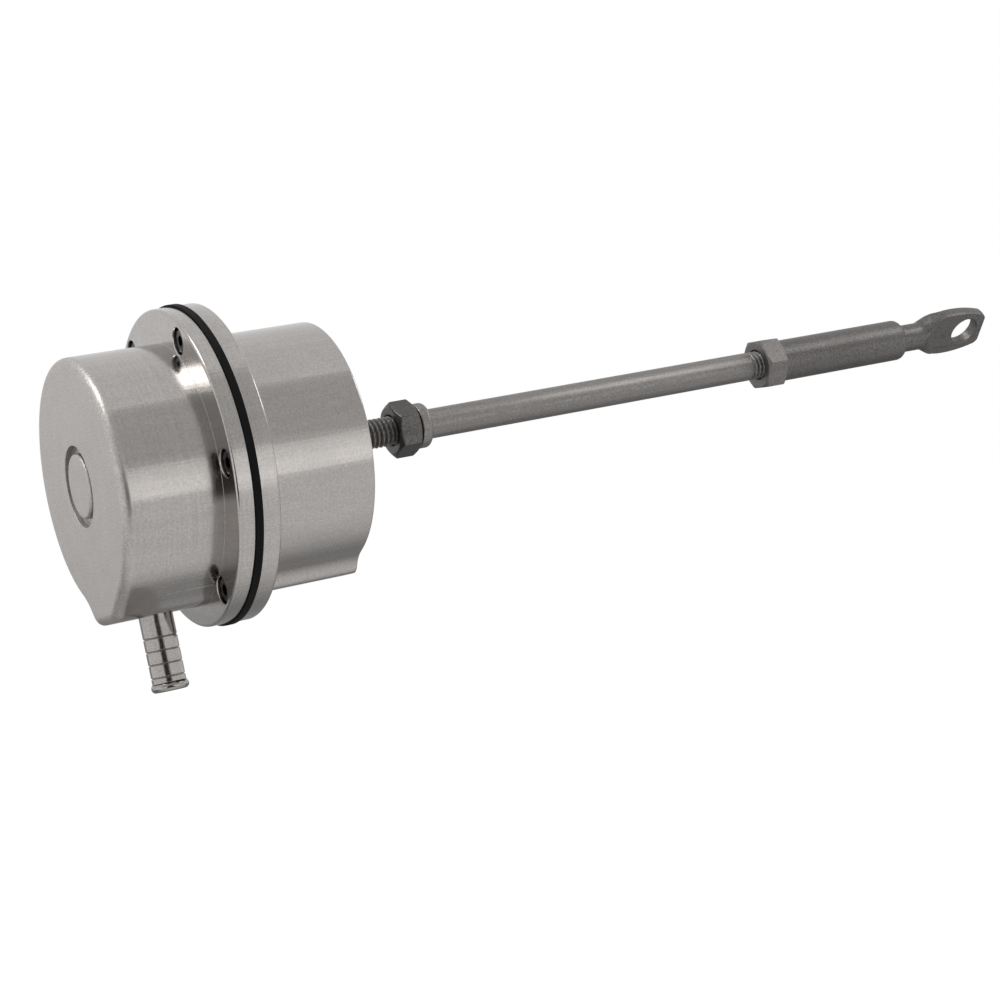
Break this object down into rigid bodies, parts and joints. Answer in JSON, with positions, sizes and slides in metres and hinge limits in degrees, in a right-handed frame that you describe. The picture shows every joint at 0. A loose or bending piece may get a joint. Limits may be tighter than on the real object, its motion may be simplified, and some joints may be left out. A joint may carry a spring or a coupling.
{
  "type": "turbo wastegate actuator",
  "caption": "Pneumatic wastegate actuator: two flanged round housings with a rolling diaphragm, a hose nipple, and an adjustable push rod ending in a flat eye.",
  "frame": {"origin": "centre of the mounting face on the lower housing, on the rod axis", "axes": "+X along the rod towards the eye, -Z along the hose nipple, +Y completing a right-handed frame"},
  "size_m": [0.2137, 0.0632, 0.0725],
  "materials": {
    "turned_aluminium": "turned and satin polished",
    "plain_aluminium": "as machined",
    "black_rubber": "moulded silicone rubber",
    "zinc_steel": "zinc plated",
    "spring_steel": "oiled spring steel",
    "stainless": "brushed",
    "bronze": "sintered",
    "screw_steel": "plain stainless",
    "nickel": "polished",
    "dark_nut_steel": "plain stainless",
    "bright_nut_steel": "bright plated"
  },
  "bodies": {
    "casing": {"cap_housing": "turned_aluminium", "lower_housing": "turned_aluminium", "diaphragm": "black_rubber", "return_spring": "spring_steel", "spring_shim": "spring_steel", "guide_bush": "bronze", "shaft_wiper": "black_rubber", "wiper_circlip": "spring_steel", "housing_screws": "screw_steel", "hose_nipple": "nickel"},
    "push_rod": {"piston": "plain_aluminium", "retainer_plate": "plain_aluminium", "piston_washer": "zinc_steel", "piston_nut": "zinc_steel", "actuator_shaft": "stainless", "shaft_jam_nut": "dark_nut_steel", "extension_rod": "stainless"},
    "adjuster": {"rod_jam_nut": "bright_nut_steel"},
    "rod_eye": {"rod_end": "stainless"}
  },
  "joints": [
    {"name": "rod_slide", "type": "slide", "parent": "casing", "child": "push_rod", "axis": [1, 0, 0], "range_m": [0, 0.012], "stiffness_N_per_m": 5000, "springref_m": -0.022, "deforming": ["return_spring", "diaphragm"]},
    {"name": "adjuster_travel", "type": "slide", "parent": "push_rod", "child": "adjuster", "axis": [1, 0, 0], "range_m": [-0.0025, 0.008]},
    {"name": "rod_end_turn", "type": "hinge", "parent": "adjuster", "child": "rod_eye", "pos_m": [0.1078, 0, 0], "axis": [1, 0, 0], "range_deg": [-900, 2880]}
  ],
  "couplings": [
    {"joint": "adjuster_travel", "follows": "rod_end_turn", "m_per_rad": 0.00015915}
  ]
}
